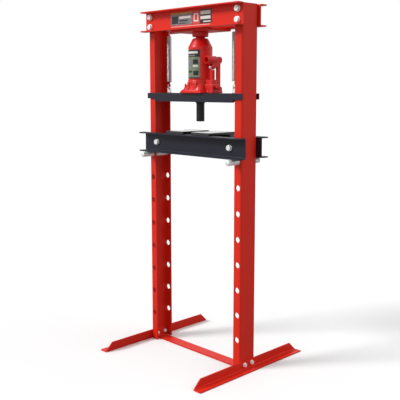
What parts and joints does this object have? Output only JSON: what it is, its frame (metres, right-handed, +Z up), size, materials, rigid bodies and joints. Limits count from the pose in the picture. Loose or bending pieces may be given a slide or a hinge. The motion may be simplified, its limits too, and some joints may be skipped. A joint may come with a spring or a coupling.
{
  "type": "hydraulic shop press",
  "caption": "Floor-standing H-frame hydraulic shop press: a bottle jack on a sprung crossbeam pushes a ram down onto a height-adjustable bed with arbor plates.",
  "frame": {"origin": "on the floor, midway between the posts and midway from front to back", "axes": "+Z up, +X to the operator's right, -Y towards the operator at the front"},
  "size_m": [0.5506, 0.542, 1.29],
  "materials": {
    "red_paint": "gloss",
    "black_paint": "gloss",
    "jack_red": "gloss",
    "zinc_plate": "satin",
    "spring_steel": "satin",
    "bare_steel": "satin"
  },
  "bodies": {
    "frame": {"left_post": "red_paint", "right_post": "red_paint", "front_top_beam": "red_paint", "rear_top_beam": "red_paint", "head_plate": "red_paint", "left_foot": "red_paint", "right_foot": "red_paint", "base_bar": "red_paint", "left_front_lower_bolt": "zinc_plate", "left_front_lower_nut": "zinc_plate", "left_front_upper_bolt": "zinc_plate", "left_front_upper_nut": "zinc_plate", "left_rear_lower_bolt": "zinc_plate", "left_rear_lower_nut": "zinc_plate", "left_rear_upper_bolt": "zinc_plate", "left_rear_upper_nut": "zinc_plate", "right_front_lower_bolt": "zinc_plate", "right_front_lower_nut": "zinc_plate", "right_front_upper_bolt": "zinc_plate", "right_front_upper_nut": "zinc_plate", "right_rear_lower_bolt": "zinc_plate", "right_rear_lower_nut": "zinc_plate", "right_rear_upper_bolt": "zinc_plate", "right_rear_upper_nut": "zinc_plate", "left_foot_front_bolt": "zinc_plate", "left_foot_front_nut": "zinc_plate", "left_foot_rear_bolt": "zinc_plate", "left_foot_rear_nut": "zinc_plate", "right_foot_front_bolt": "zinc_plate", "right_foot_front_nut": "zinc_plate", "right_foot_rear_bolt": "zinc_plate", "right_foot_rear_nut": "zinc_plate", "left_spring_hanger": "bare_steel", "right_spring_hanger": "bare_steel", "left_return_spring": "spring_steel", "right_return_spring": "spring_steel"},
    "crossbeam": {"crossbeam": "black_paint", "press_ram": "black_paint", "jack_base": "jack_red", "jack_tank": "jack_red", "jack_cylinder": "bare_steel", "tank_nut": "jack_red", "pump_link": "jack_red"},
    "jack_ram": {"jack_ram": "bare_steel", "ram_saddle": "jack_red"},
    "handle_socket": {"handle_socket": "jack_red"},
    "pump_plunger": {"pump_plunger": "bare_steel"},
    "release_valve": {"release_valve": "jack_red"},
    "bed": {"front_bed_channel": "black_paint", "rear_bed_channel": "black_paint", "left_bed_tie_bolt": "zinc_plate", "left_bed_tie_nut": "zinc_plate", "right_bed_tie_bolt": "zinc_plate", "right_bed_tie_nut": "zinc_plate", "left_bed_spacer": "black_paint", "right_bed_spacer": "black_paint"},
    "left_bed_pin": {"left_bed_pin": "zinc_plate"},
    "right_bed_pin": {"right_bed_pin": "zinc_plate"},
    "left_arbor_plate": {"left_arbor_plate": "black_paint"},
    "right_arbor_plate": {"right_arbor_plate": "black_paint"}
  },
  "joints": [
    {"name": "crossbeam_travel", "type": "slide", "parent": "frame", "child": "crossbeam", "axis": [0, 0, -1], "range_m": [0, 0.085], "stiffness_N_per_m": 2200, "springref_m": -0.09, "deforming": ["left_return_spring", "right_return_spring"]},
    {"name": "jack_ram_extension", "type": "slide", "parent": "crossbeam", "child": "jack_ram", "axis": [0, 0, 1], "range_m": [0, 0.085]},
    {"name": "pump_handle_swing", "type": "hinge", "parent": "crossbeam", "child": "handle_socket", "pos_m": [0.061, 0.03, 1.102], "axis": [-1, 0, 0], "range_deg": [0, 28]},
    {"name": "pump_plunger_stroke", "type": "slide", "parent": "crossbeam", "child": "pump_plunger", "axis": [0, 0, 1], "range_m": [0, 0.017]},
    {"name": "release_valve_turn", "type": "hinge", "parent": "crossbeam", "child": "release_valve", "pos_m": [0.08, 0, 1.008], "axis": [1, 0, 0], "range_deg": [0, 180]},
    {"name": "bed_lift", "type": "slide", "parent": "frame", "child": "bed", "axis": [0, 0, 1], "range_m": [0, 0.02]},
    {"name": "left_pin_draw", "type": "slide", "parent": "frame", "child": "left_bed_pin", "axis": [0, -1, 0], "range_m": [0, 0.105]},
    {"name": "right_pin_draw", "type": "slide", "parent": "frame", "child": "right_bed_pin", "axis": [0, -1, 0], "range_m": [0, 0.105]},
    {"name": "left_plate_slide", "type": "slide", "parent": "bed", "child": "left_arbor_plate", "axis": [-1, 0, 0], "range_m": [0, 0.075]},
    {"name": "right_plate_slide", "type": "slide", "parent": "bed", "child": "right_arbor_plate", "axis": [1, 0, 0], "range_m": [0, 0.095]}
  ],
  "couplings": [
    {"joint": "jack_ram_extension", "follows": "crossbeam_travel", "ratio": 1},
    {"joint": "pump_plunger_stroke", "follows": "pump_handle_swing", "m_per_rad": 0.0341}
  ]
}
